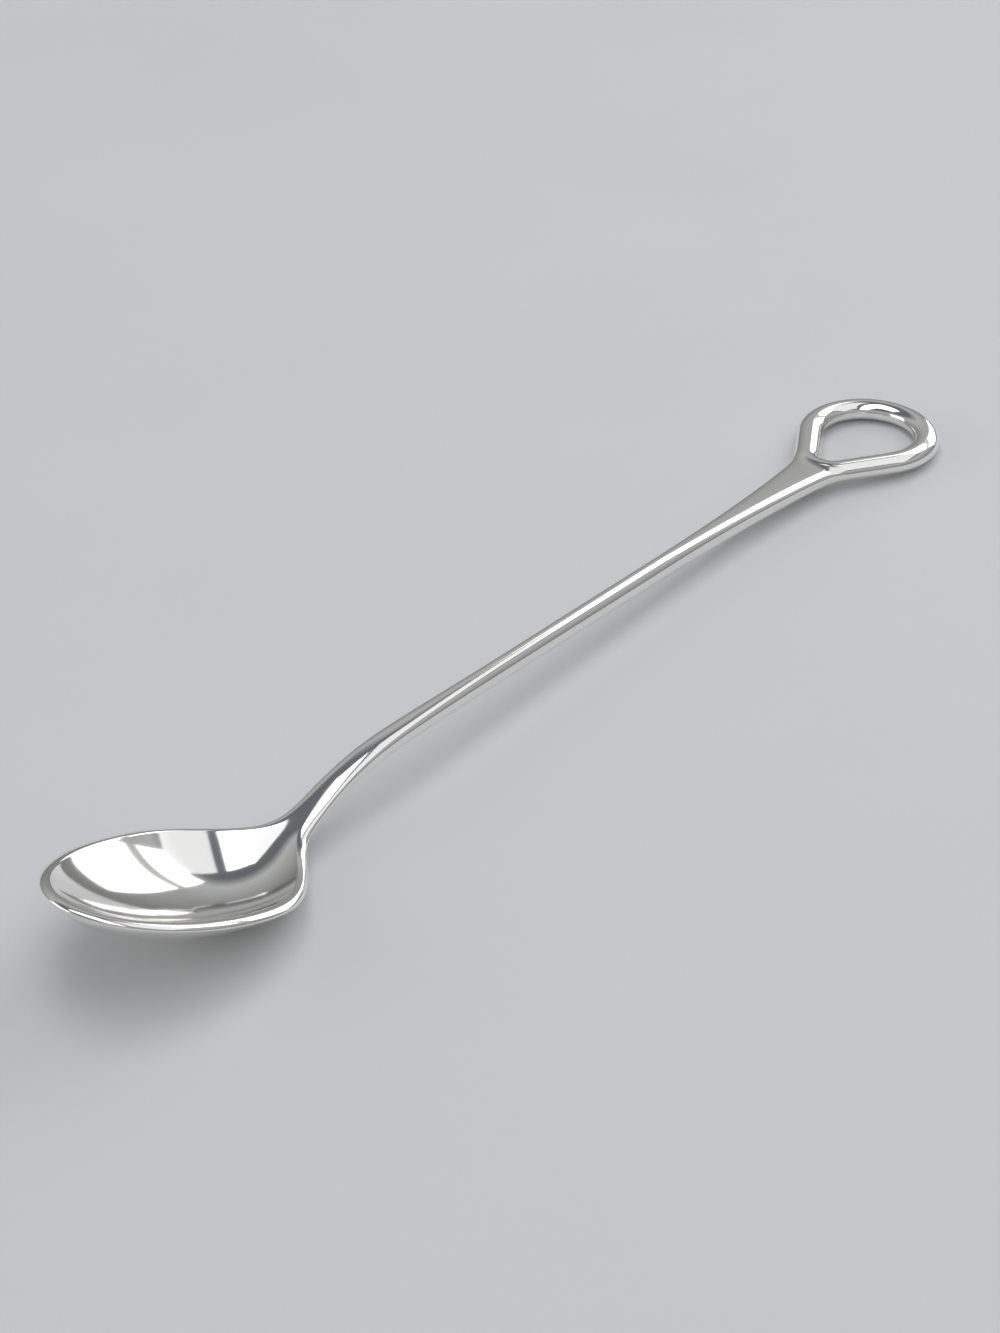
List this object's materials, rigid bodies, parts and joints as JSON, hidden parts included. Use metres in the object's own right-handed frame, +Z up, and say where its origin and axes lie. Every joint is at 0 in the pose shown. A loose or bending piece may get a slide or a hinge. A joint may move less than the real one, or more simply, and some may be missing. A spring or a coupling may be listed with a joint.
{
  "type": "teaspoon",
  "caption": "Small polished silver spoon with a shallow oval bowl on a slender round stem that widens into an open pear-shaped loop.",
  "frame": {"origin": "on the table under the middle of the spoon's length, on its plane of symmetry", "axes": "+X along the spoon from the bowl's tip toward the loop, +Y across it, +Z up from the table it lies on"},
  "size_m": [0.145, 0.0218, 0.0127],
  "materials": {
    "silver": "polished silver",
    "solder": "polished silver solder"
  },
  "bodies": {
    "root": {"bowl": "silver", "neck_solder": "solder", "stem": "silver", "loop_solder": "solder", "loop": "silver"}
  },
  "joints": []
}
